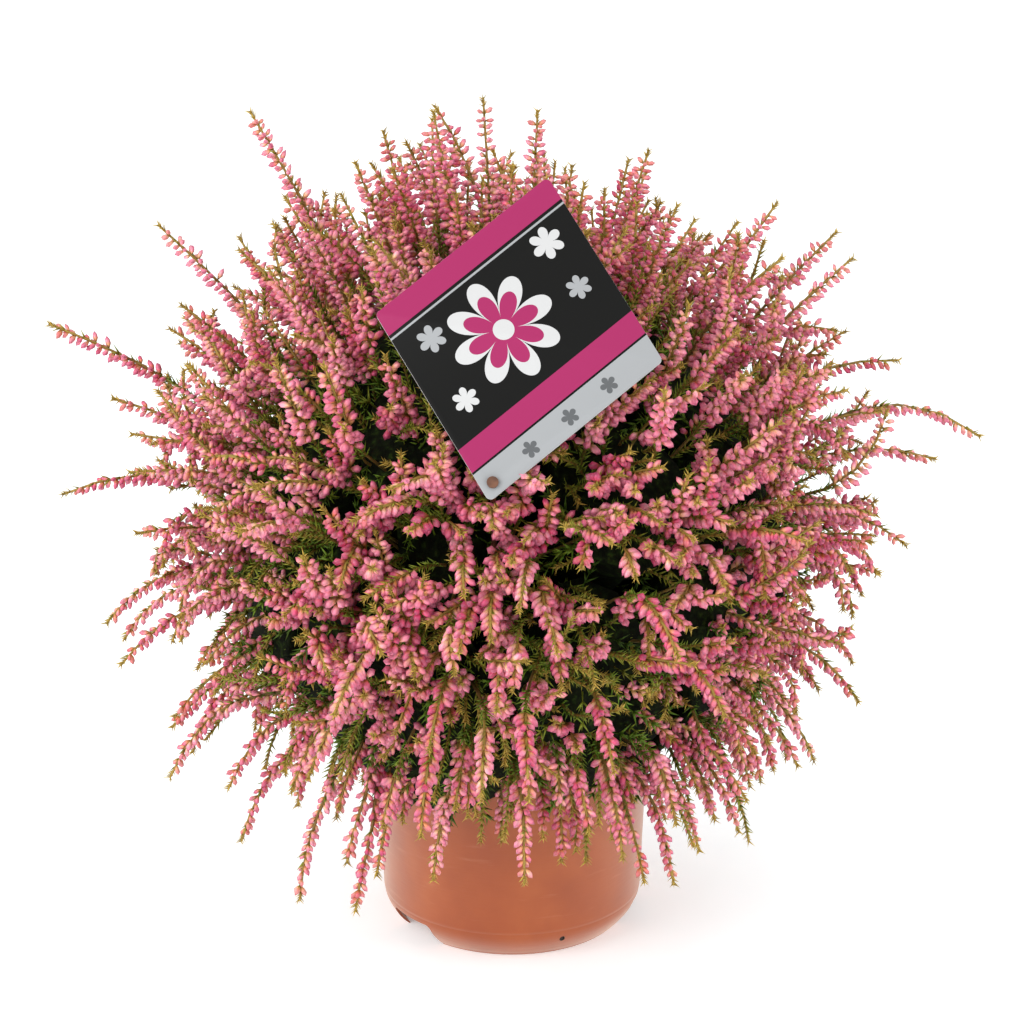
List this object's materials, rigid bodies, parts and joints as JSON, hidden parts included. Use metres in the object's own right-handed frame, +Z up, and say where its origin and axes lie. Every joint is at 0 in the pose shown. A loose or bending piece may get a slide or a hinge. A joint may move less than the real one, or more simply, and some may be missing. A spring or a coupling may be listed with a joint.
{
  "type": "potted heather",
  "caption": "Bud-flowering heather: a round dome of slender pink shoots in a round nursery pot, with a diamond plant label on a rod.",
  "frame": {"origin": "centre of the box around the part, on the plane that the pot's foot rests on", "axes": "+Z up along the pot's axis, -Y towards the side with the label, +X to the right of a viewer who faces the label"},
  "size_m": [0.366, 0.3572, 0.3402],
  "materials": {
    "terracotta_plastic": "satin moulded plastic in a terracotta colour",
    "potting_compost": "dark peat crumb, matt and rough",
    "heather_wood": "brown flaking bark",
    "printed_card": "printed plastic sheet with a satin sheen",
    "brown_plastic": "satin moulded plastic",
    "budding_shoots": "pink closed buds over fine green needle leaves"
  },
  "bodies": {
    "root": {"pot": "terracotta_plastic", "compost": "potting_compost", "rootstock": "heather_wood", "label_card": "printed_card", "label_rod": "brown_plastic", "spray_01": "budding_shoots", "spray_02": "budding_shoots", "spray_03": "budding_shoots", "spray_04": "budding_shoots", "spray_05": "budding_shoots", "spray_06": "budding_shoots", "spray_07": "budding_shoots", "spray_08": "budding_shoots", "spray_09": "budding_shoots", "spray_10": "budding_shoots", "spray_11": "budding_shoots", "spray_12": "budding_shoots", "spray_13": "budding_shoots", "spray_14": "budding_shoots", "spray_15": "budding_shoots", "spray_16": "budding_shoots", "spray_17": "budding_shoots", "spray_18": "budding_shoots", "spray_19": "budding_shoots", "spray_20": "budding_shoots", "spray_21": "budding_shoots", "spray_22": "budding_shoots", "spray_23": "budding_shoots", "spray_24": "budding_shoots", "spray_25": "budding_shoots", "spray_26": "budding_shoots", "spray_27": "budding_shoots", "spray_28": "budding_shoots", "spray_29": "budding_shoots", "spray_30": "budding_shoots", "spray_31": "budding_shoots", "spray_32": "budding_shoots", "spray_33": "budding_shoots", "spray_34": "budding_shoots", "spray_35": "budding_shoots", "spray_36": "budding_shoots", "spray_37": "budding_shoots", "spray_38": "budding_shoots", "spray_39": "budding_shoots", "spray_40": "budding_shoots"}
  },
  "joints": []
}
